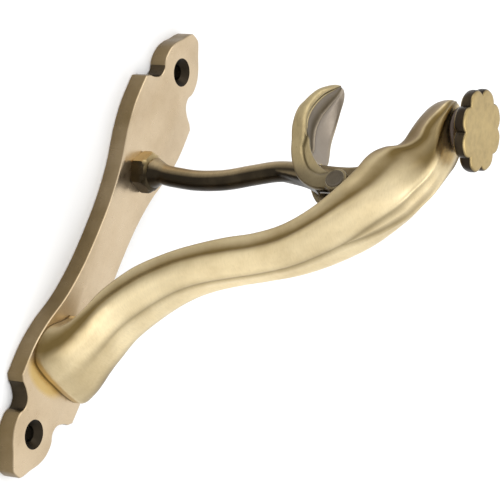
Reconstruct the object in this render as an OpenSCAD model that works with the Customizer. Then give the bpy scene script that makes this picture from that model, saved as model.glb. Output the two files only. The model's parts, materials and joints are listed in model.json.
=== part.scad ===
// Floor door holder: a screwed-down plate, an S-shaped arm braced by a strut,
// a sprung lever at the top of the strut and a lobed knob on the end of the arm.
// Origin at the centre of the plate's underside, +Z up, foot of the arm at +X.

/* [Plate] */
// Thickness of the plate
plate_t = 6.5; // [6.5:0.5:9]
// Distance between the two screw holes
hole_spacing = 144; // [142:1:146]
// Diameter of the screw's clearance hole
hole_d = 5.5; // [4.5:0.5:6]
// Diameter of the countersink at the plate's face
sink_d = 9.5; // [8.5:0.5:10]

/* [Strut] */
// Diameter of the strut's rod
rod_d = 7.1; // [6:0.1:7.4]
// Width across the flats of the hexagonal collar
collar_af = 12.6; // [12:0.2:13.6]
// Height of the hexagonal collar
collar_h = 5; // [4:0.5:6]

/* [Lever] */
// Diameter of the lever's pin
pin_d = 4.8; // [4:0.2:5]
// Outer diameter of the lever's eye
eye_d = 9; // [8.8:0.2:9.6]

/* [Knob] */
// Diameter over the lobes of the knob
knob_d = 27.8; // [24:0.2:29]
// Thickness of the knob
knob_t = 5; // [4:0.5:6]
// Number of lobes round the knob
knob_lobes = 8; // [6:1:10]
// Diameter of the knob's spindle
spindle_d = 6; // [5:0.5:6]

/* [Hidden] */
$fn = 64;
eps = 0.01;
run_gap = 0.05;

// Plate
tip_x = 87.3;
shoulder_x = 59;
shoulder_y = 17.2;
waist_y = 9;

// Strut
strut_x = -30.5;
tenon_d = 6;
recess_d = 14;
recess_h = 4.3;
flange_h = 0.8;
web_y = 6.4;

// Lever and its pin, heights above the plate's face
pin_x = -28;
pin_z = 82;
cheek_in = 5.4;
cheek_out = 8.8;
bush_d = 6.6;
stop_d = 2.5;
stop_x = -33;
stop_z = 72.4;

// Knob
knob_x = -54.8;
boss_top = 114.4;
boss_bottom = 103;
bush_od = 9;
collar_top = 118;
washer_top = 118.6;

// Fastenings of the arm's foot
screw_x = 41;
screw_y = 9.5;
screw_d = 5;
dowel_d = 4;
dowel_x = [35, 47];

// ---------- shared geometry ----------

// Smooth curve through a list of points: value between points i and i + 1
function blend(p, i, t) =
    let (n = len(p) - 1,
         a = p[max(i - 1, 0)], b = p[i], c = p[min(i + 1, n)], d = p[min(i + 2, n)])
    0.5 * (2 * b + (c - a) * t + (2 * a - 5 * b + 4 * c - d) * t * t
           + (3 * b - a - 3 * c + d) * t * t * t);

function smooth(p, steps) = [
    for (i = [0 : len(p) - 2]) for (k = [0 : steps - 1]) blend(p, i, k / steps),
    p[len(p) - 1]
];

// Side faces and end caps of a loft whose rings all have m points
function loft_faces(rings, m) = concat(
    [for (r = [0 : rings - 2]) for (k = [0 : m - 1])
        let (a = r * m + k, b = r * m + (k + 1) % m)
        each [[a, b, a + m], [b, b + m, a + m]]],
    [[for (k = [m - 1 : -1 : 0]) k]],
    [[for (k = [0 : m - 1]) (rings - 1) * m + k]]
);

// Half outline mirrored into a closed ring of [depth, breadth] pairs
function full_ring(half) = concat(
    half, [for (k = [len(half) - 1 : -1 : 0]) [half[k][0], -half[k][1]]]
);

// Loft between an inner and an outer line in the XZ plane. Each station is
// [inner x, inner z, outer x, outer z, half width, share of the second section].
module ribbon_loft(stations, half, other_half, steps) {
    ring = full_ring(half);
    other = full_ring(other_half);
    path = smooth(stations, steps);
    points = [for (s = path) for (k = [0 : len(ring) - 1])
        let (p = ring[k] + s[5] * (other[k] - ring[k]))
        [s[0] + p[0] * (s[2] - s[0]), p[1] * s[4], s[1] + p[0] * (s[3] - s[1])]];
    polyhedron(points, loft_faces(len(path), len(ring)), convexity = 6);
}

// Round rod along a path of [x, z] points
module rod_along(path, d, sides) {
    n = len(path) - 1;
    points = [for (i = [0 : n])
        let (t = path[min(i + 1, n)] - path[max(i - 1, 0)], u = t / norm(t))
        for (k = [0 : sides - 1])
            let (c = d / 2 * cos(360 * k / sides), s = d / 2 * sin(360 * k / sides))
            [path[i][0] + u[1] * c, -s, path[i][1] - u[0] * c]];
    polyhedron(points, loft_faces(n + 1, sides), convexity = 4);
}

// Outline in the XZ plane made solid between two Y positions
module slab_xz(y0, y1) {
    translate([0, y1, 0]) rotate([90, 0, 0]) linear_extrude(y1 - y0) children();
}

// Cylinder along Y
module cyl_y(x, z, d, y0, y1) {
    translate([x, y1, z]) rotate([90, 0, 0]) cylinder(d = d, h = y1 - y0);
}

module ring_y(x, z, d_out, d_in, y0, y1) {
    difference() {
        cyl_y(x, z, d_out, y0, y1);
        cyl_y(x, z, d_in, y0 - 1, y1 + 1);
    }
}

module tube(d_out, d_in, h) {
    difference() {
        cylinder(d = d_out, h = h);
        translate([0, 0, -1]) cylinder(d = d_in, h = h + 2);
    }
}

// Everything above the plate is placed from the plate's face
module on_plate() {
    translate([0, 0, plate_t]) children();
}

// ---------- plate ----------

// Quarter outline: waist, shoulder, notch and ogee point
quarter = smooth([
    [0, waist_y], [13, 9.5], [26, 11.6], [38, 15.4], [48, 17.2], [shoulder_x, shoulder_y]
], 4);
quarter_end = smooth([
    [shoulder_x + 1.6, 15.4], [61.8, 12.6], [64, 10], [67, 9.4], [69.5, 10.6], [72, 10.9],
    [75.5, 10.4], [79, 8.6], [82.5, 5.8], [85.2, 3.9], [tip_x - 0.3, 2.2], [tip_x, 0]
], 3);

module plate_outline() {
    q = concat(quarter, quarter_end);
    n = len(q);
    polygon(concat(
        q,
        [for (k = [n - 2 : -1 : 0]) [q[k][0], -q[k][1]]],
        [for (k = [1 : n - 1]) [-q[k][0], -q[k][1]]],
        [for (k = [n - 2 : -1 : 1]) [-q[k][0], q[k][1]]]
    ));
}

module countersunk_hole(d, head_d) {
    sink_h = (head_d - d) / 2;
    translate([0, 0, -1]) cylinder(d = d, h = plate_t + 2);
    translate([0, 0, plate_t - sink_h]) cylinder(d1 = d, d2 = head_d, h = sink_h);
    translate([0, 0, plate_t]) cylinder(d = head_d, h = 1);
}

module base_plate() {
    color([0.78, 0.68, 0.48]) difference() {
        linear_extrude(plate_t) plate_outline();
        for (side = [-1, 1])
            translate([side * hole_spacing / 2, 0, 0]) countersunk_hole(hole_d, sink_d);
        // threaded end of the strut, its nut and washer
        translate([strut_x, 0, -1]) cylinder(d = tenon_d, h = plate_t + 2);
        translate([strut_x, 0, -1]) cylinder(d = recess_d, h = recess_h + 1);
        // screws and dowels of the arm's foot
        for (side = [-1, 1]) translate([screw_x, side * screw_y, 0]) {
            translate([0, 0, -1]) cylinder(d = screw_d, h = plate_t + 2);
            cylinder(d1 = 2 * screw_d, d2 = screw_d, h = screw_d / 2);
        }
        for (x = dowel_x) translate([x, 0, plate_t - 4]) cylinder(d = dowel_d, h = 5);
    }
}

// ---------- arm ----------

// Stations from the foot to the head: inner x, z, outer x, z, half width, share of foot
arm_stations = [
    [30.4, 0, 53.9, 0, 17.2, 1],
    [30.4, 3.6, 53.9, 3.6, 17.2, 1],
    [29.4, 6.8, 49.5, 8.4, 16, 0.8],
    [26.6, 9.4, 39.5, 12.8, 14.4, 0.4],
    [21.8, 12.8, 29, 17.8, 13, 0.1],
    [12.6, 21, 19.5, 26.7, 12, 0],
    [5.6, 30.8, 13.8, 34.2, 11, 0],
    [0.9, 39.8, 10.5, 41.9, 10.1, 0],
    [-3, 49.8, 7.8, 51.6, 9.4, 0],
    [-5.6, 59.8, 5.1, 61.8, 9.3, 0],
    [-9.2, 69.6, 1.2, 72.8, 10.2, 0],
    [-15, 78.4, -4.9, 83.4, 11.6, 0],
    [-22.9, 85.4, -13.2, 95, 12.4, 0],
    [-31.2, 89, -22, 105.2, 11.3, 0],
    [-38.6, 92, -32, 111.8, 10.4, 0],
    [-42.4, 96, -40, 114.6, 9.4, 0],
    [-44.8, 99.8, -45, 114.3, 10.2, 0],
    [-48.6, 101.4, -49.6, 114.2, 11, 0],
    [-51.8, 102.4, -52.2, 114.1, 10.6, 0],
    [-54.6, 105, -54.6, 113.4, 7.4, 0]
];

// Half section: flat inner face, rolled rim, shallow cove, full side, soft ridge
arm_half = [
    [0, 0.9], [0.03, 0.97], [0.1, 1], [0.18, 0.985], [0.26, 0.93], [0.36, 0.92],
    [0.5, 0.96], [0.66, 0.95], [0.78, 0.87], [0.87, 0.7], [0.94, 0.44], [1, 0.12]
];
// Half footprint: sides that follow the plate's edges, straight toe, round corners
foot_half = [
    [0, 0.42], [0.1, 0.5], [0.2, 0.64], [0.32, 0.83], [0.44, 0.94], [0.56, 0.985],
    [0.7, 1], [0.82, 0.97], [0.9, 0.89], [0.96, 0.76], [0.99, 0.6], [1, 0.4]
];

// Edge of the web that lies against the arm's inner face
seat_edge = [for (q = smooth(arm_stations, 3)) if (q[1] > 73 && q[1] < 93.6 && q[0] < -10) [q[0], q[1]]];
seat_angle = atan2(seat_edge[len(seat_edge) - 1][1] - seat_edge[0][1],
    seat_edge[len(seat_edge) - 1][0] - seat_edge[0][0]);
seat_pins = [9, 25];

// +X of this frame runs along the seat towards the head, +Z points away from the arm
module in_seat_frame() {
    translate([seat_edge[0][0], 0, seat_edge[0][1]]) rotate([0, -seat_angle, 0]) children();
}

module saddle_pins_shape() {
    for (s = seat_pins) in_seat_frame() translate([s, 0, -8.5]) cylinder(d = 3, h = 10.5);
}

module arm() {
    color([0.84, 0.75, 0.55]) on_plate() difference() {
        union() {
            ribbon_loft(arm_stations, arm_half, foot_half, 3);
            translate([knob_x, 0, 0]) rotate_extrude() polygon([
                [0, boss_bottom], [6.8, boss_bottom], [9, boss_bottom + 2], [9.8, boss_bottom + 5],
                [9.5, boss_bottom + 8], [8.6, boss_top - 1], [7.8, boss_top], [0, boss_top]
            ]);
        }
        saddle_pins_shape();
        translate([knob_x, 0, boss_bottom + 1.5]) cylinder(d = bush_od, h = 20);
        for (side = [-1, 1]) translate([screw_x, side * screw_y, -1]) cylinder(d = screw_d, h = 7);
        for (x = dowel_x) translate([x, 0, -1]) cylinder(d = dowel_d, h = 5.2);
    }
}

module arm_screws() {
    color("silver") for (side = [-1, 1]) translate([screw_x, side * screw_y, 0]) difference() {
        union() {
            cylinder(d1 = 2 * screw_d, d2 = screw_d, h = screw_d / 2);
            cylinder(d = screw_d, h = plate_t + 5.8);
        }
        translate([0, 0, -1]) cylinder(d = 3, h = 2.8, $fn = 6);
    }
}

module arm_dowels() {
    color("silver") for (x = dowel_x) translate([x, 0, plate_t - 4]) cylinder(d = dowel_d, h = 8);
}

// ---------- strut ----------

rod_path = smooth([
    [strut_x, collar_h - 1], [-29.6, 12], [-28.6, 24], [-29.6, 35], [-32.2, 45],
    [-34.3, 54], [-34.4, 63], [-33.4, 72]
], 3);

// Web between the rod and the arm, left edge up and right edge down
web_left = smooth([[-36.4, 56], [-36.8, 66], [-36.2, 78], [-36.8, 85], [-39.2, 91.4]], 4);
web_top = [for (k = [len(seat_edge) - 1 : -1 : 0]) seat_edge[k]];
web_right = smooth([[-12.8, 73.8], [-16, 75], [-21.5, 75.6], [-26.6, 72.4], [-30, 65.5], [-32, 56]], 4);

module strut() {
    color([0.36, 0.3, 0.22]) on_plate() difference() {
        union() {
            translate([strut_x, 0, -plate_t + 0.5]) cylinder(d = tenon_d, h = plate_t + 2);
            translate([strut_x, 0, flange_h]) cylinder(d = collar_af / cos(30), h = collar_h - flange_h, $fn = 6);
            translate([strut_x, 0, collar_h - eps]) cylinder(d1 = collar_af - 1.5, d2 = rod_d, h = 3);
            rod_along(rod_path, rod_d, 16);
            slab_xz(-web_y / 2, web_y / 2) polygon(concat(web_left, web_top, web_right));
        }
        cyl_y(pin_x, pin_z, pin_d, -10, 10);
        cyl_y(stop_x, stop_z, stop_d, -10, 10);
        saddle_pins_shape();
    }
}

module strut_flange_washer() {
    color([0.45, 0.38, 0.26]) on_plate() translate([strut_x, 0, 0])
        tube(collar_af / cos(30) + 1, tenon_d, flange_h);
}

module strut_lock_washer() {
    color("silver") translate([strut_x, 0, recess_h - 0.9]) tube(11, tenon_d, 0.9);
}

module strut_back_nut() {
    color("silver") translate([strut_x, 0, recess_h - 4.1]) difference() {
        cylinder(d = 10 / cos(30), h = 3.2, $fn = 6);
        translate([0, 0, -1]) cylinder(d = tenon_d, h = 6);
    }
}

module saddle_pins() {
    color("silver") on_plate() saddle_pins_shape();
}

// ---------- lever ----------

// Cheek: a bar that hooks from the pin's eye round to the leaf
cheek_path = smooth([
    [pin_x, pin_z], [-26.8, 75.5], [-29, 69.5], [-33.3, 65.6], [-37.6, 63.6], [-41.7, 62.8], [-46.5, 60.9]
], 4);
// Half height of the bar at its eye and at its far end, inside the leaf
cheek_half_h = [2.1, 1.2];

function bar_edge(path, h, side) = let (n = len(path) - 1) [for (i = [0 : n])
    let (t = path[min(i + 1, n)] - path[max(i - 1, 0)], u = t / norm(t))
    path[i] + side * (h[0] + (h[1] - h[0]) * i / n) * [-u[1], u[0]]];

module cheek_outline() {
    edge = bar_edge(cheek_path, cheek_half_h, 1);
    back = bar_edge(cheek_path, cheek_half_h, -1);
    polygon(concat(edge, [for (k = [len(back) - 1 : -1 : 0]) back[k]]));
    translate([pin_x, pin_z]) circle(d = eye_d);
}

// Leaf, from the gap beside the strut to the tip, in the arm's form of station
leaf_stations = [
    [-42.6, 60.6, -41.8, 66.4, 9.6, 0],
    [-46.5, 58.3, -46.4, 64.8, 10.4, 0],
    [-52, 57.4, -51.8, 63.4, 10.6, 0],
    [-57.5, 58.5, -56.8, 63.6, 9.7, 0],
    [-62.2, 60.8, -61, 65.2, 7.6, 0],
    [-66, 63, -65, 66.7, 4.4, 0],
    [-68.6, 65, -67.8, 67, 1.2, 0]
];
leaf_half = [
    [0.01, 0.2], [0.08, 0.6], [0.14, 0.86], [0.3, 0.97], [0.5, 1], [0.74, 0.98], [0.86, 0.88],
    [0.78, 0.76], [0.82, 0.4], [0.86, 0.1]
];

module lever() {
    color([0.62, 0.55, 0.36]) on_plate() difference() {
        union() {
            ribbon_loft(leaf_stations, leaf_half, leaf_half, 4);
            slab_xz(cheek_in, cheek_out) cheek_outline();
            slab_xz(-cheek_out, -cheek_in) cheek_outline();
        }
        cyl_y(pin_x, pin_z, bush_d, -12, 12);
    }
}

module lever_bushes() {
    color([0.75, 0.7, 0.55]) on_plate() for (side = [0, 1]) mirror([0, side, 0])
        ring_y(pin_x, pin_z, bush_d, pin_d + 2 * run_gap, cheek_in, cheek_out);
}

module lever_pin() {
    color([0.5, 0.45, 0.38]) on_plate() {
        cyl_y(pin_x, pin_z, pin_d, -cheek_out - 0.2, cheek_out + 1);
        cyl_y(pin_x, pin_z, 7.4, cheek_out + 0.7, cheek_out + 2);
    }
}

module lever_pin_washer() {
    color("silver") on_plate() ring_y(pin_x, pin_z, 8, pin_d, cheek_out + 0.1, cheek_out + 0.7);
}

module lever_spacer() {
    color("silver") on_plate() ring_y(pin_x, pin_z, 8, pin_d, web_y / 2, cheek_in - 0.1);
}

module lever_stop_pin() {
    color([0.4, 0.35, 0.28]) on_plate() cyl_y(stop_x, stop_z, stop_d, -6.6, 6.6);
}

// Torsion spring: two coils round the pin and two straight legs
wire_d = 0.9;
leg_d = 0.8;
coil_r = 3.2;
module lever_spring() {
    color("gray") on_plate() {
        for (k = [0, 1]) translate([pin_x, -web_y / 2 - 0.55 - 0.95 * k, pin_z]) rotate([90, 0, 0])
            rotate_extrude() translate([coil_r, 0]) circle(d = wire_d);
        // inner leg lies down the web, outer leg reaches towards the leaf
        translate([pin_x - coil_r, -web_y / 2 - 0.55, pin_z - 12]) cylinder(d = leg_d, h = 12);
        translate([pin_x + coil_r, -web_y / 2 - 1.5, pin_z - 6]) cylinder(d = leg_d, h = 6);
    }
}

// ---------- knob ----------

module at_knob(z) {
    translate([knob_x, 0, plate_t + z]) children();
}

module knob() {
    lobe_r = knob_d * 0.11;
    color([0.72, 0.64, 0.44]) at_knob(washer_top + run_gap) difference() {
        linear_extrude(knob_t) union() {
            circle(r = knob_d / 2 - 0.75 * lobe_r);
            for (k = [0 : knob_lobes - 1]) rotate(360 * (k + 0.5) / knob_lobes)
                translate([knob_d / 2 - lobe_r, 0]) circle(r = lobe_r);
        }
        translate([0, 0, -1]) cylinder(d = spindle_d, h = 4.5);
    }
}

module knob_spindle() {
    color("silver") at_knob(boss_bottom + 1.9) difference() {
        cylinder(d = spindle_d, h = washer_top + run_gap + 3.5 - boss_bottom - 1.9);
        translate([0, 0, 0.8]) tube(spindle_d + 2, spindle_d - 1.2, 1);
    }
}

module knob_collar() {
    color([0.3, 0.25, 0.19]) at_knob(boss_top) difference() {
        cylinder(d1 = 15.4, d2 = 14.2, h = collar_top - boss_top);
        translate([0, 0, -1]) cylinder(d = spindle_d + 2 * run_gap, h = 10);
    }
}

module knob_bush() {
    color([0.7, 0.55, 0.3]) at_knob(boss_bottom + 4) tube(bush_od, spindle_d + 2 * run_gap, 6);
}

module knob_thrust_washer() {
    color([0.7, 0.6, 0.4]) at_knob(collar_top + run_gap)
        tube(12, spindle_d, washer_top - collar_top);
}

module knob_circlip() {
    color("gray") at_knob(boss_bottom + 2.8) tube(8, spindle_d - 1.2, 0.8);
}

base_plate();
arm();
arm_screws();
arm_dowels();
strut();
strut_flange_washer();
strut_lock_washer();
strut_back_nut();
saddle_pins();
lever();
lever_bushes();
lever_pin();
lever_pin_washer();
lever_spacer();
lever_stop_pin();
lever_spring();
knob();
knob_spindle();
knob_collar();
knob_bush();
knob_thrust_washer();
knob_circlip();
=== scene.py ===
"""Looks of the floor door holder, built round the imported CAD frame.

Places are in metres. Tables of stations, sections and profiles are in millimetres, with z measured from
the plate's top face.
"""
import json
import math

import bpy
import numpy as np
from mathutils import Matrix, Vector


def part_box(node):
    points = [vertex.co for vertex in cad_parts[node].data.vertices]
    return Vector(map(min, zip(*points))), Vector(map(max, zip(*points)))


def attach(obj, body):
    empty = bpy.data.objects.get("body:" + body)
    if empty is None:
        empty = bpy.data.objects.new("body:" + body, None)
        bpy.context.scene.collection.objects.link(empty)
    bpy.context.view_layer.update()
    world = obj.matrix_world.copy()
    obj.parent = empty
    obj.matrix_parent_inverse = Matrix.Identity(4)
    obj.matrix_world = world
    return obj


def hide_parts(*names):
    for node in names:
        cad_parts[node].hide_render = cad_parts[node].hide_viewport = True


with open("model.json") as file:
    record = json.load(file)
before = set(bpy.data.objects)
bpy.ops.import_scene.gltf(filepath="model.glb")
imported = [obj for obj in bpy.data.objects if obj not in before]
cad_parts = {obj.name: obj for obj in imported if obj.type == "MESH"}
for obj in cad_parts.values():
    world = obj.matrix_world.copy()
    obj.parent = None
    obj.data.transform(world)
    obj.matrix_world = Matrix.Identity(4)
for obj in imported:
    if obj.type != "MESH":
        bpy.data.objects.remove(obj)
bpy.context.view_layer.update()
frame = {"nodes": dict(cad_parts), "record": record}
MM = 0.001


# ---------- places, from the frame ----------

def middle_x(node):
    lo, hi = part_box(node)
    return (lo.x + hi.x) / 2


PLATE_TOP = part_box("base_plate")[1].z
PLATE_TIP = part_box("base_plate")[1].x
STRUT_X = middle_x("strut_flange_washer")
KNOB_X = middle_x("knob_collar")
KNOB_LO, KNOB_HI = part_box("knob")
COLLAR_LO, COLLAR_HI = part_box("knob_collar")
PIN_LO, PIN_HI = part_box("lever_pin")
PIN = (PIN_LO + PIN_HI) / 2
PIN_Z = (PIN.z - PLATE_TOP) / MM
SCREWS = next(m for m in frame["record"]["mounts"] if m["name"] == "floor_screws")["dims"]
SCREW_X = SCREWS["spacing_x_mm"] * MM / 2
SCREW_R = SCREWS["hole_r_mm"]


# ---------- mesh helpers ----------

# Points added between two stations along a piece, and between two points of a section
STATION_STEPS, SECTION_STEPS = 8, 4


def smooth(points, steps):
    """Uniform Catmull-Rom curve through the points."""
    p = np.asarray(points, float)
    n = len(p) - 1
    out = []
    for i in range(n):
        a, b, c, d = p[max(i - 1, 0)], p[i], p[min(i + 1, n)], p[min(i + 2, n)]
        for k in range(steps):
            t = k / steps
            out.append(0.5 * (2 * b + (c - a) * t + (2 * a - 5 * b + 4 * c - d) * t * t
                              + (3 * b - a - 3 * c + d) * t ** 3))
    out.append(p[n])
    return np.array(out)


def smooth_values(values, steps):
    """The same curve through plain numbers."""
    return smooth(np.asarray(values, float)[:, None], steps)[:, 0]


def smoothstep(a, b, x):
    """0 before a, 1 after b, and a smooth rise between them."""
    t = np.clip((np.asarray(x, float) - a) / (b - a), 0, 1)
    return t * t * (3 - 2 * t)


def circle(sides):
    """Angles of evenly spaced points round a ring."""
    return np.arange(sides) * 2 * math.pi / sides


def tangents(path):
    """Unit direction of a path of plane points, at each of its points."""
    steps = np.concatenate([path[1:2] - path[:1], path[2:] - path[:-2], path[-1:] - path[-2:-1]])
    return steps / np.linalg.norm(steps, axis=1, keepdims=True)


def on_plate(points):
    """Points in millimetres above the plate's top face, as places in metres."""
    return np.asarray(points, float) * MM + np.array([0, 0, PLATE_TOP])


def add_object(name, verts, faces, smooth_shade=True):
    mesh = bpy.data.meshes.new(name)
    mesh.from_pydata([tuple(v) for v in verts], [], faces)
    mesh.validate()
    mesh.update()
    obj = bpy.data.objects.new(name, mesh)
    bpy.context.scene.collection.objects.link(obj)
    mesh.polygons.foreach_set("use_smooth", [smooth_shade] * len(mesh.polygons))
    return obj


def set_layer(obj, key, values):
    """Gives each vertex a number that a material reads by its key."""
    layer = obj.data.attributes.new(key, "FLOAT", "POINT")
    layer.data.foreach_set("value", np.asarray(values, np.float32))


def band_faces(rows, sides):
    """Quads between neighbouring rings of a stack of closed rings."""
    faces = []
    for row in range(rows - 1):
        here, above = row * sides, (row + 1) * sides
        for k in range(sides):
            after = (k + 1) % sides
            faces.append((here + k, here + after, above + after, above + k))
    return faces


def grid_object(name, rings, layers=None):
    """Closed rings of equal length made into one skin, with a fan round a centre point at each end."""
    rings = np.asarray(rings, float)
    rows, sides = rings.shape[:2]
    verts = [*rings.reshape(-1, 3).tolist(), rings[0].mean(0).tolist(), rings[-1].mean(0).tolist()]
    first, last, top = rows * sides, rows * sides + 1, (rows - 1) * sides
    faces = band_faces(rows, sides)
    faces += [((k + 1) % sides, k, first) for k in range(sides)]
    faces += [(top + k, top + (k + 1) % sides, last) for k in range(sides)]
    obj = add_object(name, verts, faces)
    for key, values in (layers or {}).items():
        v = np.asarray(values, float)
        set_layer(obj, key, [*v.reshape(-1), v[0].mean(), v[-1].mean()])
    outward(obj)
    return obj


def outward(obj):
    """Turns the skin so that its normals point out, which makes its signed volume positive."""
    co = np.array([v.co for v in obj.data.vertices], float)
    volume = 0.0
    for p in obj.data.polygons:
        vs = list(p.vertices)
        for i in range(1, len(vs) - 1):
            volume += np.dot(co[vs[0]], np.cross(co[vs[i]], co[vs[i + 1]]))
    if volume < 0:
        obj.data.flip_normals()


def evaluated(obj):
    """Bakes the object's modifiers into its mesh."""
    dg = bpy.context.evaluated_depsgraph_get()
    mesh = bpy.data.meshes.new_from_object(obj.evaluated_get(dg))
    old = obj.data
    obj.modifiers.clear()
    obj.data = mesh
    bpy.data.meshes.remove(old)
    return obj


def cut(obj, *cutters):
    """Takes the cutters out of the object and removes them."""
    for c in cutters:
        m = obj.modifiers.new("cut", "BOOLEAN")
        m.operation = "DIFFERENCE"
        m.solver = "EXACT"
        m.object = c
    bpy.context.view_layer.update()
    evaluated(obj)
    for c in cutters:
        bpy.data.objects.remove(c)


def merged(name, objs, voxel, smooth_steps):
    """Joins closed skins into one smooth skin with soft inside corners."""
    verts, faces = [], []
    for o in objs:
        base = len(verts)
        verts += [tuple(v.co) for v in o.data.vertices]
        faces += [tuple(base + i for i in p.vertices) for p in o.data.polygons]
        bpy.data.objects.remove(o)
    obj = add_object(name, verts, faces)
    remesh = obj.modifiers.new("remesh", "REMESH")
    remesh.mode = "VOXEL"
    remesh.voxel_size = voxel * MM
    remesh.use_smooth_shade = True
    soften = obj.modifiers.new("soften", "SMOOTH")
    soften.factor = 0.5
    soften.iterations = smooth_steps
    bpy.context.view_layer.update()
    return evaluated(obj)


def revolve(name, profile, centre, axis="Z", sides=96, radius_of=None):
    """Profile of (radius, height) pairs turned round an axis through centre."""
    angles = circle(sides)
    rings = []
    for r, h in profile:
        radius = radius_of(r * MM, angles) if radius_of else np.full(sides, r * MM)
        x, y, z = radius * np.cos(angles), radius * np.sin(angles), np.full(sides, h * MM)
        ring = (x, z, y) if axis == "Y" else (x, y, z)
        rings.append(np.stack(ring, 1) + np.array(centre))
    return grid_object(name, rings)


def rounded(profile, r, steps=4):
    """Profile of (radius, height) pairs with its inner corners rounded by r."""
    p = [np.array(q, float) for q in profile]
    out = [p[0]]
    for a, b, c in zip(p, p[1:], p[2:]):
        u, v = a - b, c - b
        lu, lv = np.linalg.norm(u), np.linalg.norm(v)
        k = min(r, 0.45 * lu, 0.45 * lv)
        s, e = b + u / lu * k, b + v / lv * k
        for i in range(steps + 1):
            t = i / steps
            out.append((1 - t) ** 2 * s + 2 * t * (1 - t) * b + t * t * e)
    out.append(p[-1])
    return [tuple(q) for q in out]


def inset(outline, d):
    """Outline moved inwards by d along its normals."""
    nxt, prv = np.roll(outline, -1, 0), np.roll(outline, 1, 0)
    t = nxt - prv
    t /= np.maximum(np.linalg.norm(t, axis=1, keepdims=True), 1e-12)
    area = 0.5 * np.sum(outline[:, 0] * nxt[:, 1] - nxt[:, 0] * outline[:, 1])
    side = np.stack([-t[:, 1], t[:, 0]], 1) * (1 if area > 0 else -1)
    return outline + side * d


def shade(obj, sharp_from):
    """Smooth shading with edges from this angle, in degrees, kept crisp."""
    mesh = obj.data
    mesh.polygons.foreach_set("use_smooth", [True] * len(mesh.polygons))
    mesh.set_sharp_from_angle(angle=math.radians(sharp_from))
    mesh.update()


def paint(obj, material):
    obj.data.materials.clear()
    obj.data.materials.append(material)


def settle(piece, body, material, node=None):
    """Hides the CAD node that the piece stands for, hangs the piece on the body it rides on and paints it
    with what it is made of.
    """
    if node:
        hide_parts(node)
    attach(piece, body)
    paint(piece, material)


# ---------- materials ----------

# Noise scales, in waves per metre, from a slow drift of tone to fine pits
DRIFT_SCALE, ROUGH_SCALE, LINE_SCALE, GRAIN_SCALE, PIT_SCALE = 45, 300, 420, 700, 900
BUMP_DEPTH = 0.2 * MM

BRASS_LIGHT = (0.88, 0.74, 0.47)
BRASS_MID = (0.74, 0.60, 0.355)
BROWN = (0.12, 0.08, 0.03)
NEAR_BLACK = (0.022, 0.017, 0.011)
# Cool tones painted on the arm's head and the lever: painted reflection, and painted shadow round the lever's
# hub
COOL_BROWN = (0.22, 0.165, 0.12)
COOL_GREY = (0.31, 0.265, 0.215)
# Gold of the painted reflection of the arm's toe in the plate
REFLECTED_GOLD = (0.62, 0.42, 0.12)
ZINC = (0.62, 0.62, 0.62)
SPRING_GREY = (0.3, 0.29, 0.28)


class Nodes:
    """Adds and links the shader nodes of one material."""

    def __init__(self, name):
        self.mat = bpy.data.materials.new(name)
        self.mat.use_nodes = True
        self.tree = self.mat.node_tree
        self.bsdf = self.tree.nodes["Principled BSDF"]

    def add(self, kind, inputs=None, **props):
        n = self.tree.nodes.new(kind)
        for k, v in props.items():
            setattr(n, k, v)
        for k, v in (inputs or {}).items():
            self.put(n, k, v)
        return n

    def put(self, node, key, value):
        """Links a socket to an input, or sets the input to a constant."""
        if isinstance(value, bpy.types.NodeSocket):
            self.tree.links.new(value, node.inputs[key])
        else:
            node.inputs[key].default_value = value

    def mix(self, share, a, b):
        """Colour a where share is 0, colour b where it is 1."""
        n = self.add("ShaderNodeMix", {0: share}, data_type="RGBA", blend_type="MIX")
        for key, colour in ((6, a), (7, b)):
            self.put(n, key, (*colour, 1) if isinstance(colour, tuple) else colour)
        return n.outputs[2]

    def math(self, op, a, b=0.0, clamp=False):
        n = self.add("ShaderNodeMath", {0: a, 1: b}, operation=op, use_clamp=clamp)
        return n.outputs[0]

    def remap(self, value, lo, hi, to_lo, to_hi):
        n = self.add("ShaderNodeMapRange", {"Value": value, "From Min": lo, "From Max": hi,
                                            "To Min": to_lo, "To Max": to_hi})
        return n.outputs[0]

    def attribute(self, name):
        return self.add("ShaderNodeAttribute", attribute_name=name).outputs["Fac"]

    def noise(self, scale, detail=3.0, rough=0.5, stretch=(1, 1, 1)):
        place = self.add("ShaderNodeTexCoord").outputs["Object"]
        mapping = self.add("ShaderNodeMapping", {"Vector": place, "Scale": stretch})
        n = self.add("ShaderNodeTexNoise", {"Vector": mapping.outputs["Vector"], "Scale": scale,
                                            "Detail": detail, "Roughness": rough})
        return n.outputs["Fac"]

    def axis_of(self, vector, axis):
        return self.add("ShaderNodeSeparateXYZ", {"Vector": vector}).outputs[axis]

    def normal_axis(self, axis):
        return self.axis_of(self.add("ShaderNodeNewGeometry").outputs["Normal"], axis)

    def place_axis(self, axis):
        return self.axis_of(self.add("ShaderNodeTexCoord").outputs["Object"], axis)

    def bump(self, height, strength):
        n = self.add("ShaderNodeBump", {"Height": height, "Strength": strength, "Distance": BUMP_DEPTH})
        return n.outputs["Normal"]


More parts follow.
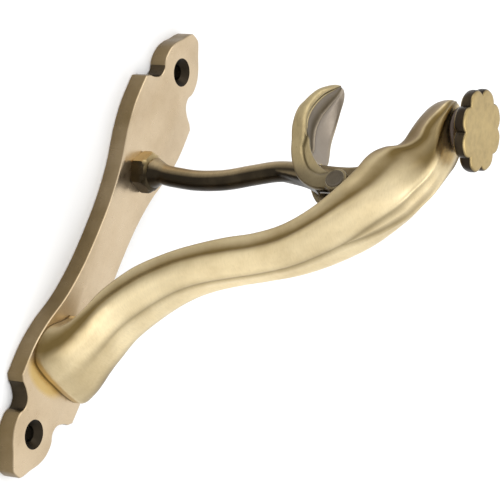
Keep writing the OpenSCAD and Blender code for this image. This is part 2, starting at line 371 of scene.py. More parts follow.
def aged_brass(name, light, mid, dark, rough=(0.34, 0.48), dark_mask=None, cool_mask=None, gold_reflection_mask=None,
               cool_tone=COOL_BROWN, brush=(1, 1, 12), brush_strength=0.12, stain=0.25, streak=0.18):
    """Brushed brass: a light and a mid tone that drift slowly, with fine brush lines and small pits.

    Each mask is a function that builds from the nodes the share of painted shade, of a cool tone that paints
    reflections and the shadow round the lever's hub, or of a gold painted reflection.
    """
    n = Nodes(name)
    drift = n.noise(DRIFT_SCALE, 4, 0.55)
    tone = n.mix(n.remap(drift, 0.35, 0.65, 0, 1), light, mid)
    pits = n.noise(PIT_SCALE, 4, 0.7)
    tone = n.mix(n.remap(pits, 0.56, 0.75, 0, stain), tone, dark)
    lines = n.noise(LINE_SCALE, 2, 0.6, stretch=brush)
    tone = n.mix(n.remap(lines, 0.4, 0.75, 0, streak), tone, dark)
    # Painted reflection in gold, by the gold mask
    if gold_reflection_mask:
        tone = n.mix(gold_reflection_mask(n), tone, REFLECTED_GOLD)
    # Painted reflection and shadow in a cool tone, by the cool mask
    if cool_mask:
        tone = n.mix(cool_mask(n), tone, cool_tone)
    # Painted shade: the dark mask, wobbled a little by the slow drift, darkens the tone
    if dark_mask:
        painted_shade = n.math("ADD", dark_mask(n), n.remap(drift, 0.3, 0.7, -0.08, 0.08), clamp=True)
        tone = n.mix(painted_shade, tone, dark)
    n.put(n.bsdf, "Base Color", tone)
    n.put(n.bsdf, "Metallic", 1.0)
    n.put(n.bsdf, "Roughness", n.remap(n.noise(ROUGH_SCALE, 3, 0.6), 0.3, 0.7, *rough))
    height = n.math("ADD", n.math("MULTIPLY", lines, 0.6), n.math("MULTIPLY", pits, 0.5))
    n.put(n.bsdf, "Normal", n.bump(height, brush_strength))
    return n.mat


def steel(name, colour, rough=0.36):
    """Plain steel with a fine drawn grain."""
    n = Nodes(name)
    grain = n.noise(GRAIN_SCALE, 3, 0.6, stretch=(1, 1, 6))
    grain_dark = tuple(0.6 * c for c in colour)
    n.put(n.bsdf, "Base Color", n.mix(n.remap(grain, 0.3, 0.7, 0, 0.5), colour, grain_dark))
    n.put(n.bsdf, "Metallic", 1.0)
    n.put(n.bsdf, "Roughness", n.remap(grain, 0.3, 0.7, rough - 0.06, rough + 0.08))
    n.put(n.bsdf, "Normal", n.bump(grain, 0.1))
    return n.mat


def layer_mask(key):
    """Share painted on the piece's own vertices."""
    return lambda n: n.attribute(key)


def side_shade_mask(start, end, most):
    """Painted shade on faces that look sideways: most of it below start, none past end, by the normal's
    height.
    """
    return lambda n: n.remap(n.math("ABSOLUTE", n.normal_axis("Z")), start, end, most, 0.0)


def foot_side_shade_mask(start, end):
    """Painted shade on faces that look towards the arm's foot, away from the key light."""
    return lambda n: n.remap(n.normal_axis("X"), start, end, 0.0, 1.0)


# Painted reflection of the arm's toe: oval on the plate in front of the toe, middle and half size along X and
# Y, in metres
TOE_REFLECTION_X, TOE_REFLECTION_Y = (0.054, 0.0052), (-0.006, 0.0115)


def toe_reflection(n):
    """Painted reflection of the arm's toe: an oval of yellower brass."""
    squares = [n.math("POWER", n.math("DIVIDE", n.math("SUBTRACT", n.place_axis(axis), middle), half), 2.0)
               for axis, (middle, half) in (("X", TOE_REFLECTION_X), ("Y", TOE_REFLECTION_Y))]
    return n.remap(n.math("ADD", *squares), 0.5, 1.1, 0.75, 0.0)


ALONG_PLATE = (12, 12, 1)
# The arm's dark layer is painted shade, and its cool layer a cool painted reflection on the head's rim
mat_arm = aged_brass("arm_brass", BRASS_LIGHT, BRASS_MID, (0.14, 0.095, 0.034), stain=0.1, streak=0.1,
                     brush_strength=0.07, dark_mask=layer_mask("dark"), cool_mask=layer_mask("cool"))
# Painted shade on the plate's sides, and a gold painted reflection in front of the arm's toe
mat_plate = aged_brass("plate_brass", (0.72, 0.58, 0.4), (0.63, 0.49, 0.32), (0.14, 0.098, 0.045),
                       rough=(0.26, 0.36), brush=ALONG_PLATE, brush_strength=0.06, stain=0.1,
                       dark_mask=side_shade_mask(0.25, 0.85, 0.9), gold_reflection_mask=toe_reflection)
# Painted shade: near-black walls in the countersunk holes and dark sides in the plate's notches
mat_hole_shade = aged_brass("screw_hole_shade", (0.035, 0.027, 0.018), (0.02, 0.016, 0.011), NEAR_BLACK)
mat_notch_shade = aged_brass("plate_notch_shade", (0.09, 0.065, 0.04), (0.05, 0.037, 0.022), NEAR_BLACK,
                       brush=ALONG_PLATE)
# Painted shade on the strut's and the hexagon's faces that look towards the arm's foot
mat_strut = aged_brass("dark_strut", (0.42, 0.32, 0.18), (0.22, 0.165, 0.09), NEAR_BLACK,
                       rough=(0.28, 0.42), stain=0.3, dark_mask=foot_side_shade_mask(-0.3, 0.3))
mat_hex = aged_brass("hex_brass", (0.56, 0.42, 0.2), (0.38, 0.28, 0.13), NEAR_BLACK,
                     rough=(0.26, 0.38), stain=0.3, dark_mask=foot_side_shade_mask(-0.6, 0.3))
# The lever's dark layer is painted shade, and its cool layer a cool painted reflection on the leaf and a
# painted shadow round the hub
mat_lever = aged_brass("lever_brass", (0.5, 0.41, 0.23), (0.38, 0.3, 0.16), (0.05, 0.036, 0.015),
                       dark_mask=layer_mask("dark"), cool_mask=layer_mask("cool"), cool_tone=COOL_GREY)
# Painted shade on the knob's side walls
mat_knob = aged_brass("knob_brass", (0.54, 0.41, 0.19), (0.47, 0.35, 0.16), (0.026, 0.019, 0.013),
                      rough=(0.34, 0.4), stain=0.06, brush_strength=0.05,
                      dark_mask=side_shade_mask(0.45, 0.95, 1.0))
mat_collar = aged_brass("collar_dark", (0.1, 0.075, 0.062), (0.055, 0.042, 0.035), NEAR_BLACK,
                        rough=(0.25, 0.4))
mat_pin = aged_brass("pin_face", (0.13, 0.105, 0.075), (0.085, 0.07, 0.05), NEAR_BLACK)
mat_bush = aged_brass("worn_bush", (0.5, 0.44, 0.33), (0.42, 0.36, 0.26), BROWN)
mat_zinc = steel("zinc_steel", ZINC)
mat_spring = steel("spring_steel", SPRING_GREY)


# ---------- plate ----------

PLATE_T = PLATE_TOP / MM
TIP = PLATE_TIP / MM
SHOULDER_X, SHOULDER = 59.0, 17.2
NOTCH_END = 68.4
# A quarter of the outline: the waisted side up to the shoulder, then the notch and the pointed end
SIDE = [[0, 9], [13, 9.5], [26, 11.6], [38, 15.4], [48, 17.2], [SHOULDER_X, SHOULDER]]
END = [[SHOULDER_X + 1.6, 15.4], [61.8, 12.6], [64, 10], [67, 9.4], [69.5, 10.6], [72, 10.9],
       [75.5, 10.4], [79, 8.6], [82.5, 5.8], [85.2, 3.9], [TIP - 0.3, 2.2], [TIP, 0]]
# Edge of the plate from the underside up: inset, height
PLATE_EDGE = [(0.3, 0), (0, 0.3), (0, PLATE_T - 0.6), (0.1, PLATE_T - 0.28), (0.32, PLATE_T - 0.06),
              (0.6, PLATE_T)]
# Countersunk hole, cut from under the plate to above it: radius, height
SINK = [(SCREW_R, -1), (SCREW_R, 4.3), (4.75, 6.3), (5, PLATE_T), (5.6, PLATE_T + 0.7)]
SINK_FACE_R = 4.9
# Round recess under the plate for the strut's nut and lock washer: radius, height
RECESS = [(7, -1), (7, 4.3)]
# Material slots after the plate's own. Faces below UNDERSIDE keep the plate's material, as do faces
# whose normal rises more than FLAT_UP in a hole or EDGE_UP in a notch.
# The two slots paint shade into the notches' sides and the holes' walls
NOTCH_SLOT, HOLE_SLOT = 1, 2
UNDERSIDE, FLAT_UP, EDGE_UP = 0.1, 0.95, 0.5


def plate_outline():
    q = np.concatenate([smooth(SIDE, 10), smooth(END, 8)])
    return np.concatenate([q, q[-2::-1] * [1, -1], q[1:] * [-1, -1], q[-2:0:-1] * [-1, 1]]) * MM


def make_plate():
    base = plate_outline()
    sides, rows = len(base), len(PLATE_EDGE)
    verts = [(x, y, z * MM) for d, z in PLATE_EDGE for x, y in inset(base, d * MM)]
    faces = band_faces(rows, sides)
    faces.append(tuple(range(sides - 1, -1, -1)))
    faces.append(tuple((rows - 1) * sides + k for k in range(sides)))
    plate = add_object("plate_body", verts, faces, smooth_shade=False)
    outward(plate)
    sinks = [revolve("sink", SINK, (side * SCREW_X, 0, 0)) for side in (-1, 1)]
    cut(plate, *sinks, revolve("recess", RECESS, (STRUT_X, 0, 0)))
    shade(plate, sharp_from=32)
    settle(plate, "holder", mat_plate, node="base_plate")
    plate.data.materials.append(mat_notch_shade)
    plate.data.materials.append(mat_hole_shade)
    for face in plate.data.polygons:
        c, up = face.center, face.normal.z
        if c.z < UNDERSIDE * MM:
            continue
        if math.hypot(abs(c.x) - SCREW_X, c.y) < SINK_FACE_R * MM and up < FLAT_UP:
            face.material_index = HOLE_SLOT
        elif SHOULDER_X + 1 < abs(c.x) / MM < NOTCH_END and up < EDGE_UP:
            face.material_index = NOTCH_SLOT


# ---------- arm ----------

# Stations from foot to head: inner x, z, outer x, z, half width, share of foot, share of head, crest
ARM = [
    [30.4, 0, 54, 0, 17.2, 1, 0, .4],
    [30.4, 1.4, 54, 1.5, 17.2, 1, 0, .4],
    [30.4, 2.6, 53.8, 3, 17.1, 1, 0, .4],
    [30.3, 4, 52.6, 4.6, 16.7, 0.95, 0, .4],
    [29.4, 6.8, 48.4, 8.2, 15.8, 0.75, 0, .4],
    [26.6, 9.4, 39.5, 12.6, 14.3, 0.36, 0, .4],
    [21.8, 12.8, 29, 17.8, 13, 0.1, 0, .4],
    [12.6, 21, 19.5, 26.7, 12, 0, 0, .4],
    [5.6, 30.8, 13.8, 34.2, 11, 0, 0, .4],
    [0.9, 39.8, 10.5, 41.9, 10.1, 0, 0, .4],
    [-3, 49.8, 7.8, 51.6, 9.4, 0, 0, .4],
    [-5.6, 59.8, 5.1, 61.8, 9.3, 0, 0, .4],
    [-9.2, 69.6, 1.2, 72.8, 10.2, 0, 0, .4],
    [-15, 78.4, -4.9, 83.4, 11.6, 0, 0, .35],
    [-22.9, 85.4, -13.2, 95, 12.4, 0, 0, .3],
    [-31.2, 89, -22, 105.2, 10.9, 0, 0, .22],
    [-36, 90.6, -28, 109.4, 10.3, 0, 0, .16],
    [-39.2, 92.4, -32.4, 112, 9.8, 0, .1, .14],
    [-41.6, 95, -36.6, 113.4, 9.2, 0, .4, .13],
    [-43, 97.8, -41, 114.2, 8.9, 0, .85, .32],
    [-45.2, 99.8, -45.2, 114.4, 9.6, 0, 1, .47],
    [-48.6, 101.2, -49.2, 114.4, 10.2, 0, 1, .49],
    [-52, 102.2, -52.4, 114.4, 10.2, 0, 1, .55],
    [-55.2, 103.2, -55.4, 114.4, 9.8, 0, 1, .64],
    [-58.4, 104.4, -58.4, 114.3, 8.9, 0, 1, .7],
    [-61.2, 106, -61, 113.9, 7.2, 0, 1, .72],
    [-63.4, 108, -63, 113, 4.6, 0, 1, .72],
    [-64.4, 109.8, -64.2, 111.8, 1.6, 0, 1, .72],
]
# Heights between which the crease by the ridge opens, the head's painted shade and cool painted reflection
# start, and the painted contact shadow along the foot's bottom ends
CREASE_OPENS, HEAD_STARTS, CONTACT_SHADOW_ENDS = (80, 92), (87, 96), (.4, 1.2)
CREASE_BREADTH = 0.3
# Half sections are depth (inner 0, outer 1) and breadth (middle 0, side 1). They run from the inner
# middle over the rim, the cove and the broad side to the outer middle, in 18 points each.
SEC_FOOT = [(0, 0), (0, .25), (0, .4), (.06, .45), (.14, .55), (.24, .7), (.34, .85), (.44, .94), (.54, .985),
            (.66, 1), (.78, .985), (.87, .94), (.94, .84), (.975, .68), (.99, .5), (1, .32), (1, .1), (1, 0)]
# Painted shade (dark) and cool painted reflection at the same 18 points
DARK_FOOT = [.3, .3, .3, .3, .3, .3, .35, .55, .8, .95, 1, .85, .55, .35, .25, .2, .2, .2]
DARK_ARM = [.6, .6, .6, .65, .65, .6, .6, .7, .88, 1, .66, .3, .08, 0, 0, .2, .6, .6]
DARK_HEAD = [.8, .8, .85, .85, .75, .4, .45, .95, 1, .9, .8, .85, .95, .9, .5, .15, .2, .2]
COOL_HEAD = [1, 1, 1, 1, 1, .8, .2, 0, 0, 0, 0, 0, 0, 0, 0, 0, 0, 0]
NO_COOL = [0] * len(COOL_HEAD)


def arm_section(k):
    """Crease at breadth k either side of the middle; k = 0 gives one crease along the ridge."""
    opened = min(k / .1, 1)
    return [(0, 0), (0, .6), (0, .86), (.02, .95), (.07, .985), (.13, .99), (.19, .97), (.26, .93),
            (.35, .905), (.46, .915), (.57, .94), (.69, .93), (.8, .84), (.9, .64),
            (.955, .32 + .6 * k), (.985, .13 + k), (.96 + .02 * opened, k), (.96 + .04 * opened, 0)]


def arm_dark(z):
    """Painted shade of the arm's section: the shaded cove is broader near the foot, the crease opens towards
    the head.
    """
    low, high = 1 - smoothstep(25, 50, z), smoothstep(80, 88, z)
    dark = list(DARK_ARM)
    dark[10] += .34 * low
    dark[11] += .4 * low
    dark[12] += .25 * low
    dark[17] *= 1 - high
    return dark


def head_section(c):
    """The rim spreads over the inner side up to a crest at depth c, with the cove just past it."""
    return [(0, 0), (0, .35), (.02, .6), (.25 * c, .8), (.6 * c, .93), (c, 1), (c + .05, .985),
            (c + .1, .94), (c + .17, .9), (c + .24, .905), (.35 + .65 * (c + .24), .915),
            (.6 + .4 * (c + .24), .87), (.8 + .2 * (c + .24), .79), (.95, .7), (.985, .55),
            (1, .38), (1, .15), (1, 0)]


def blended(foot, head, values_arm, values_foot, values_head):
    """Values of the arm, mixed with the foot's and the head's by their shares."""
    f, h = min(max(foot, 0), 1), min(max(head, 0), 1)
    a, b, c = (np.asarray(v, float) for v in (values_arm, values_foot, values_head))
    return a * (1 - f - h) + b * f + c * h


def mirrored(values):
    """Values of a half section, continued back along the other half."""
    return np.concatenate([values, values[-2:0:-1]])


def make_arm():
    rings, dark, cool = [], [], []
    for x0, z0, x1, z1, half_width, foot, head, crest in smooth(ARM, STATION_STEPS):
        middle = arm_section(CREASE_BREADTH * smoothstep(*CREASE_OPENS, z0))
        section = blended(foot, head, middle, SEC_FOOT, head_section(crest))
        depth, breadth = smooth(section, SECTION_STEPS).T
        instep = smoothstep(0, .5, foot) * (1 - smoothstep(.6, 1, foot))
        y = breadth * half_width * (1 - 0.1 * smoothstep(.5, .9, depth) * instep)
        near = np.stack([x0 + depth * (x1 - x0), -y * (1 - 0.05 * foot), z0 + depth * (z1 - z0)], 1)
        far = np.stack([near[:, 0], y, near[:, 2]], 1)
        rings.append(on_plate(np.concatenate([near, far[-2:0:-1]])))
        head_share = smoothstep(*HEAD_STARTS, z0)
        # Painted shade along the section, from the tables above
        painted_shade = smooth_values(blended(foot, head_share, arm_dark(z0), DARK_FOOT, DARK_HEAD), SECTION_STEPS)
        # Painted contact shadow: a thin dark line where the foot meets the plate
        contact_shadow = 0.95 * (1 - smoothstep(*CONTACT_SHADOW_ENDS, z0))
        dark.append(mirrored(np.maximum(painted_shade, contact_shadow)))
        # Cool painted reflection on the head's rim
        greyed = smooth_values(blended(foot, head_share, NO_COOL, NO_COOL, COOL_HEAD), SECTION_STEPS)
        cool.append(mirrored(greyed))
    arm = grid_object("arm_body", rings, {"dark": np.clip(dark, 0, 1), "cool": np.clip(cool, 0, 1)})
    settle(arm, "holder", mat_arm, node="arm")


# ---------- strut ----------

# The rod bends from the plate up to the web, as x, z. It flares into the collar and thins in the web.
ROD_R, ROD_SIDES = 3.55, 40
FLARE, FLARE_ENDS = 2, (4.6, 10.5)
THINNING, THINNING_HEIGHTS = 1.2, (74, 80)
ROD = [[STRUT_X / MM, 5.6], [-30.2, 9], [-29.4, 13.5], [-28.6, 24], [-29.6, 35], [-32.2, 45],
       [-34.3, 54], [-34.4, 63], [-33.4, 72], [-32, 80]]
# Outline of the web under the arm, as x, z, and its rounded thickness, as y, inset
WEB_LEFT = [[-36.4, 54], [-36.8, 66], [-36.4, 78], [-37, 85], [-40.4, 93.6]]
WEB_TOP = [[-38, 93.6], [-30, 90.4], [-22, 86.6], [-15, 80.4], [-10.6, 74]]
WEB_RIGHT = [[-11.6, 73.2], [-16, 75], [-21.5, 75.6], [-26.6, 72.4], [-30, 65.5], [-32, 54]]
WEB_LAYERS = [(-3.2, .9), (-2.9, .35), (-2.3, 0), (2.3, 0), (2.9, .35), (3.2, .9)]
# The hexagon's half width across flats, the points round its skin, and the chamfer, as radius, height
HEX_HALF, HEX_SIDES = 6.3, 96
HEX_LAYERS = [(6.6, 0.02), (7.05, 0.35), (7.3, 0.8), (7.3, 3.6), (7.0, 4.3), (6.4, 5.0), (5.6, 5.5),
              (4.6, 5.9), (3.6, 6.1)]


def make_strut():
    path, angles = smooth(ROD, STATION_STEPS), circle(ROD_SIDES)
    rings = []
    for (x, z), (tx, tz) in zip(path, tangents(path)):
        r = ROD_R + FLARE * (1 - smoothstep(*FLARE_ENDS, z)) - THINNING * smoothstep(*THINNING_HEIGHTS, z)
        across, along = r * np.cos(angles), r * np.sin(angles)
        rings.append(np.stack([x + tz * across, along, z - tx * across], 1))
    rod = grid_object("rod", on_plate(rings))
    outline = np.concatenate([smooth(WEB_LEFT, 6), WEB_TOP, smooth(WEB_RIGHT, 6)])
    slab = [[(x, y, z) for x, z in inset(outline, d)] for y, d in WEB_LAYERS]
    web = grid_object("web", on_plate(slab))
    body = merged("strut_body", [rod, web], voxel=0.35, smooth_steps=8)
    settle(body, "holder", mat_strut, node="strut")


def make_hex_collar():
    """Chamfered hexagon under the rod: the chamfer cone cuts the facets into arcs."""
    angles = circle(HEX_SIDES)
    sixth, half = math.pi / 3, math.pi / 6
    flat = HEX_HALF / np.cos((angles + half) % sixth - half)
    rings = []
    for cap, h in HEX_LAYERS:
        r = np.minimum(flat, cap)
        rings.append(np.stack([r * np.cos(angles), r * np.sin(angles), np.full(len(r), h)], 1))
    collar = grid_object("hex_collar", on_plate(rings) + np.array([STRUT_X, 0, 0]))
    shade(collar, sharp_from=24)
    settle(collar, "holder", mat_hex, node="strut_flange_washer")


# ---------- lever ----------

# Stations from the hub to the tip: lower x, z, upper x, z, half breadth
LEAF = [
    [-41.4, 61.2, -40.8, 65.0, 8.2],
    [-43.6, 59.9, -43.4, 65.9, 9.6],
    [-47, 58.2, -46.9, 65, 10.5],
    [-52, 57.4, -51.8, 63.8, 10.6],
    [-57.5, 58.5, -56.8, 63.9, 9.7],
    [-62.2, 60.8, -61, 65.3, 7.7],
    [-66, 63, -64.8, 66.8, 4.8],
    [-68, 64.4, -67.2, 67, 2.8],
    [-68.9, 65.4, -68.6, 66.6, 1.2],
]
# Half sections of the leaf, from the lower middle over the rim and its groove to the panel's middle, as
# height and breadth in 16 points, with the painted shade (dark) and the cool painted reflection at the same
# points
SEC_LEAF = [(.02, 0), (.05, .4), (.12, .7), (.25, .9), (.45, 1), (.68, 1), (.86, .95), (.94, .87),
            (.88, .79), (.68, .745), (.8, .7), (.84, .66), (.72, .58), (.62, .35), (.68, .1), (.8, 0)]
SEC_LEAF_FAR = [(.02, 0), (.05, .4), (.12, .7), (.25, .9), (.45, 1), (.68, 1), (.86, .98), (.96, .94),
                (.95, .9), (.88, .82), (.82, .72), (.76, .6), (.7, .45), (.66, .28), (.7, .1), (.8, 0)]
DARK_LEAF = [.5, .5, .4, .3, .3, .25, .15, .15, .45, 1, .35, 0, .1, .45, .85, .1]
DARK_LEAF_FAR = [.5, .5, .4, .3, .3, .3, .3, .2, .1, .05, 0, 0, 0, 0, .05, .1]
COOL_LEAF = [0, 0, 0, 0, 0, 0, 0, 0, 0, 0, 0, .2, .8, 1, 1, .8]
COOL_LEAF_FAR = [0, 0, 0, 0, 0, 0, 0, .3, .8, 1, 1, 1, 1, 1, 1, .8]
# Share by which the near half is broader, and the far half narrower, at the tip
TIP_SWING, TIP_ENDS = 0.25, (-67, -57)

# Bar of each cheek, from the leaf's rim round to the eye: x, z, y, half height, half breadth
EYE_Y, EYE_HALF = 7.1, 1.7
CHEEK_BAR = [[-62, 63.6, 6.6, .7, .4], [-58.4, 61.8, 8.2, 1.2, .7], [-53.6, 60.6, 9.2, 1.7, 1.1],
             [-47.6, 61.5, 8.8, 2.4, 1.8], [-42.6, 63, 7.9, 2.7, 2.1], [-38.2, 63.8, 7.6, 2.3, 1.75],
             [-33.6, 66, 7.2, 2.3, EYE_HALF], [-29.4, 69.6, EYE_Y, 2.4, EYE_HALF],
             [-27.2, 75, EYE_Y, 2.6, EYE_HALF], [PIN.x / MM, PIN_Z - 2, EYE_Y, 3, EYE_HALF]]
BAR_SIDES = 24
# Where the far bar turns lower and slimmer, and by how much
FAR_STARTS, FAR_DROP, FAR_SLIM = (-44, -39), 0.7, 0.5
# Gusset inside each cheek, in the same columns
GUSSET = [[-43.6, 60.9, 6, 1.3, 1.4], [-41, 62.4, 6, 1.7, 1.6], [-38.2, 64.6, 6.2, 1.9, 1.5],
          [-35.2, 67.2, 6.6, 1.5, 1.2]]
# Sheet between the bar and the cheek's inner edge: the edge's x, z, the two faces' y, and the share of
# its width that the far cheek has
CHEEK_INNER = [[-47.6, 63.6], [-43.4, 66.2], [-40, 67.8], [-36.4, 70.4], [-33.2, 73.8], [-31, 77.6],
               [-29.4, 82]]
SHEET_Y = (6.75, 8.1)
FAR_SHEET = 0.35
EYE = rounded([(0.2, -EYE_HALF), (4.1, -EYE_HALF), (4.1, EYE_HALF), (0.2, EYE_HALF)], .5)
EYE_BORE = [(3.3, -4), (3.3, 4)]
# Darkening of the cheeks: a little all over, painted shade in the groove past the bar's edge, and painted
# shadow, dark and cool, round the hub
CHEEK_DARK, GROOVE_DARK, HUB_DARK, HUB_COOL = 0.22, 0.7, 0.5, 0.3
GROOVE_AT, GROOVE_WIDTH, GROOVE_STARTS, HUB_STARTS = 0.1, 0.4, (-56, -46), (-35, -27)


def make_leaf():
    sections = [smooth(sec, SECTION_STEPS) for sec in (SEC_LEAF, SEC_LEAF_FAR)]
    rings = []
    for x0, z0, x1, z1, half_breadth in smooth(LEAF, STATION_STEPS):
        swing = TIP_SWING * (1 - smoothstep(*TIP_ENDS, x0))
        near, far = (np.stack([x0 + sec[:, 0] * (x1 - x0),
                               side * sec[:, 1] * half_breadth * (1 - side * swing),
                               z0 + sec[:, 0] * (z1 - z0)], 1) for sec, side in zip(sections, (-1, 1)))
        rings.append(on_plate(np.concatenate([near, far[-2:0:-1]])))
    layers = {}
    for key, *halves in (("dark", DARK_LEAF, DARK_LEAF_FAR), ("cool", COOL_LEAF, COOL_LEAF_FAR)):
        near, far = (smooth_values(half, SECTION_STEPS) for half in halves)
        layers[key] = [np.clip(np.concatenate([near, far[-2:0:-1]]), 0, 1)] * len(rings)
    leaf = grid_object("lever_leaf", rings, layers)
    settle(leaf, "lever", mat_lever, node="lever")


def cheek_band(bar, side):
    """The cheek's bar, with a rounded box as its section. The far one is lower and slimmer by the leaf."""
    angles = circle(BAR_SIDES)
    across, along = (np.sign(v) * np.abs(v) ** 0.7 for v in (np.cos(angles), np.sin(angles)))
    rings = []
    for (x, z, y, half_h, half_b), (tx, tz) in zip(bar, tangents(bar[:, :2])):
        if side > 0:
            by_leaf = 1 - smoothstep(*FAR_STARTS, x)
            z, half_h = z - FAR_DROP * by_leaf, half_h - FAR_SLIM * by_leaf
        rings.append(np.stack([x - tz * half_h * across, side * (y + half_b * along),
                               z + tx * half_h * across], 1))
    return grid_object("band", on_plate(rings))


def cheek_gusset(side):
    angles = circle(BAR_SIDES)
    rings = [np.stack([np.full(len(angles), x), side * (y + half_b * np.sin(angles)),
                       z + half_h * np.cos(angles)], 1) for x, z, y, half_h, half_b in smooth(GUSSET, 4)]
    return grid_object("gusset", on_plate(rings))


def cheek_sheet(bar, side):
    inner = smooth(CHEEK_INNER, STATION_STEPS)
    outer = bar[-len(inner):, :2]
    if side > 0:
        inner = inner * FAR_SHEET + outer * (1 - FAR_SHEET)
    y0, y1 = SHEET_Y
    rings = [[(x, side * y, z) for (x, z), y in ((o, y0), (i, y0), (i, y1), (o, y1))]
             for o, i in zip(outer, inner)]
    return grid_object("sheet", on_plate(rings))


def cheek_painted_shade(cheek, bar):
    """Painted shade in a dark groove along the bar's edges, and a dark, cool painted shadow round the hub."""
    spots = np.array([v.co for v in cheek.data.vertices]) / MM
    gap = np.hypot(spots[:, 0, None] - bar[:, 0], spots[:, 2, None] - PLATE_T - bar[:, 1])
    past_edge = gap.min(1) - bar[gap.argmin(1), 3]
    hub = smoothstep(*HUB_STARTS, spots[:, 0])
    groove = np.exp(-((past_edge - GROOVE_AT) / GROOVE_WIDTH) ** 2)
    groove *= smoothstep(*GROOVE_STARTS, spots[:, 0]) * (1 - hub)
    set_layer(cheek, "dark", CHEEK_DARK + GROOVE_DARK * groove + HUB_DARK * hub)
    set_layer(cheek, "cool", HUB_COOL * hub)


def make_cheek(side):
    bar = smooth(CHEEK_BAR, STATION_STEPS)
    eye_centre = (PIN.x, side * EYE_Y * MM, PIN.z)
    eye = revolve("eye", EYE, eye_centre, axis="Y", sides=64)
    skins = [cheek_band(bar, side), cheek_gusset(side), cheek_sheet(bar, side), eye]
    cheek = merged(f"lever_cheek_{'near' if side < 0 else 'far'}", skins, voxel=0.3, smooth_steps=6)
    cut(cheek, revolve("bore", EYE_BORE, eye_centre, axis="Y", sides=48))
    shade(cheek, sharp_from=50)
    cheek_painted_shade(cheek, bar)
    settle(cheek, "lever", mat_lever)


def make_pin():
    """Pin with a ring round a shallow dish on the near end, and a head on the far end."""
    lo, hi = PIN_LO.y / MM, PIN_HI.y / MM
    shank_r, ring_r, head_r, head_t = 2.4, 3.25, 3.7, 1.3
    profile = rounded([(0.05, lo + .25), (2.2, lo + .2), (2.75, lo - .05), (ring_r, lo), (ring_r, lo + .6),
                       (shank_r, lo + .62), (shank_r, hi - head_t), (head_r, hi - head_t), (head_r, hi),
                       (0.05, hi)], .25, 3)
    pin = revolve("lever_pin_body", profile, (PIN.x, 0, PIN.z), axis="Y", sides=64)
    settle(pin, "holder", mat_pin, node="lever_pin")


# ---------- knob ----------

LOBES = 8
LOBE_TURN = math.radians(14.5)
LOBE_DIP, DIP_SHARPNESS, DIP_STARTS = 0.15, 1.5, (.5, .9)
# The knob's box ends half a lobe's turn away from a crest; a little less keeps the crests inside it
KNOB_R = (KNOB_HI.x - KNOB_X) / math.cos(math.pi / LOBES) * 0.985
SPINDLE_R = 3.06


def lobed(r, angles):
    """Radius pulled in between the lobes, only near the rim."""
    wave = np.abs(np.cos(LOBES / 2 * (angles - LOBE_TURN)))
    rim = smoothstep(*DIP_STARTS, r / KNOB_R)
    return r * (1 - LOBE_DIP * (1 - wave) ** DIP_SHARPNESS * rim)


def make_knob():
    r, t = KNOB_R / MM, (KNOB_HI.z - KNOB_LO.z) / MM
    profile = rounded([(0.3, 0), (8.6, 0), (9.4, .4), (r - 1.4, .5), (r - .3, 1.4), (r, 2.6),
                       (r - .1, t - .7), (r - .8, t - .1), (r - 2, t), (6, t - .05), (0.3, t - .08)], .5)
    knob = revolve("knob_body", profile, (KNOB_X, 0, KNOB_LO.z), sides=256, radius_of=lobed)
    shade(knob, sharp_from=40)
    settle(knob, "knob", mat_knob, node="knob")


def make_knob_collar():
    r, h = (COLLAR_HI.x - COLLAR_LO.x) / 2 / MM - 0.05, (COLLAR_HI.z - COLLAR_LO.z) / MM
    profile = rounded([(SPINDLE_R, 0), (r - 1, 0), (r, .3 * h), (r - .1, .6 * h), (r - 1.2, h),
                       (SPINDLE_R, h)], .6, 5)
    collar = revolve("collar_body", profile, (KNOB_X, 0, COLLAR_LO.z))
    settle(collar, "holder", mat_collar, node="knob_collar")


# ---------- the object ----------

make_plate()
make_arm()
make_strut()
make_hex_collar()
make_leaf()
make_cheek(-1)
make_cheek(1)
make_pin()
make_knob()
make_knob_collar()

NODE_MATERIALS = {
    "arm_screws": mat_zinc, "arm_dowels": mat_zinc, "strut_lock_washer": mat_zinc,
    "strut_back_nut": mat_zinc, "saddle_pins": mat_zinc, "knob_spindle": mat_zinc,
    "lever_spacer": mat_bush, "lever_pin_washer": mat_bush, "lever_bushes": mat_bush, "knob_bush": mat_bush,
    "lever_stop_pin": mat_collar, "knob_thrust_washer": mat_collar,
    "lever_spring": mat_spring, "knob_circlip": mat_spring,
}
for node_name, node_material in NODE_MATERIALS.items():
    paint(frame["nodes"][node_name], node_material)


# ---------- floor, light, camera ----------

FLOOR_HALF, FLOOR_Z = 4, -0.2 * MM
WHITE, OFF_WHITE = (0.93, 0.93, 0.93), (0.91, 0.91, 0.91)
# Brightness of the studio round the object: place between the horizon (0) and overhead (1), level
SKY = [(0.0, 0.85), (0.25, 0.85), (0.6, 1.0), (0.95, 0.8)]
SKY_STRENGTH = 1.12
# Where the lights point
AIM = (0, 0, 0.05)
# Camera: lens and film width in millimetres, its place, and the directions behind it and to its right
LENS, FILM = 174.8, 36
CAMERA_PLACE = Vector((0.3183, -0.5993, 0.4741 + PLATE_TOP))
CAMERA_BACK, CAMERA_RIGHT = Vector((0.403, -0.750, 0.525)), Vector((-0.326, 0.419, 0.847))
CLIP_NEAR, CLIP_FAR = 0.01, 50


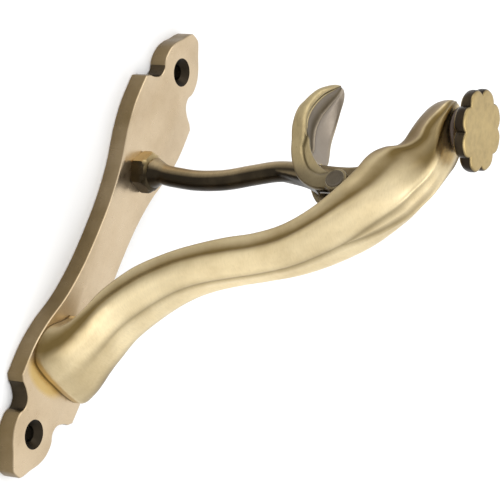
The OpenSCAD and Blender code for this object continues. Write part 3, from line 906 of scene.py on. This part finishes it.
def make_floor():
    n = Nodes("pale_floor")
    n.put(n.bsdf, "Base Color", n.mix(n.remap(n.noise(6, 3, 0.5), 0.3, 0.7, 0, 1), WHITE, OFF_WHITE))
    n.put(n.bsdf, "Roughness", 0.7)
    corners = [(x * FLOOR_HALF, y * FLOOR_HALF, FLOOR_Z) for x, y in ((-1, -1), (1, -1), (1, 1), (-1, 1))]
    floor = add_object("floor", corners, [(0, 1, 2, 3)])
    paint(floor, n.mat)


def make_world():
    world = bpy.data.worlds.new("studio")
    bpy.context.scene.world = world
    world.use_nodes = True
    tree = world.node_tree
    background = tree.nodes["Background"]
    place = tree.nodes.new("ShaderNodeTexCoord")
    split = tree.nodes.new("ShaderNodeSeparateXYZ")
    ramp = tree.nodes.new("ShaderNodeValToRGB")
    tree.links.new(place.outputs["Generated"], split.inputs[0])
    tree.links.new(split.outputs["Z"], ramp.inputs["Fac"])
    tree.links.new(ramp.outputs["Color"], background.inputs["Color"])
    stops = ramp.color_ramp.elements
    while len(stops) < len(SKY):
        stops.new(0.5)
    for stop, (height, level) in zip(stops, SKY):
        stop.position = height
        stop.color = (level, level, level, 1)
    background.inputs["Strength"].default_value = SKY_STRENGTH


def area_light(name, place, size, power):
    data = bpy.data.lights.new(name, "AREA")
    data.shape = "RECTANGLE"
    data.size, data.size_y = size
    data.energy = power
    obj = bpy.data.objects.new(name, data)
    bpy.context.scene.collection.objects.link(obj)
    obj.location = place
    obj.rotation_euler = (Vector(AIM) - Vector(place)).to_track_quat("-Z", "Y").to_euler()


def make_camera():
    """Long lens that looks down on the object, with the plate's long side running up the picture."""
    data = bpy.data.cameras.new("camera")
    data.sensor_width = FILM
    data.lens = LENS
    data.clip_start, data.clip_end = CLIP_NEAR, CLIP_FAR
    camera = bpy.data.objects.new("camera", data)
    bpy.context.scene.collection.objects.link(camera)
    back = CAMERA_BACK.normalized()
    right = (CAMERA_RIGHT - back * CAMERA_RIGHT.dot(back)).normalized()
    turn = Matrix((right, back.cross(right), back)).transposed().to_4x4()
    turn.translation = CAMERA_PLACE
    camera.matrix_world = turn
    bpy.context.scene.camera = camera
    bpy.context.scene.view_settings.view_transform = "Standard"


make_floor()
make_world()
area_light("key", place=(-1.1, -1.0, 0.9), size=(1.6, 1.2), power=9)
area_light("top", place=(0.2, 0.1, 1.6), size=(1.4, 1.4), power=9)
make_camera()
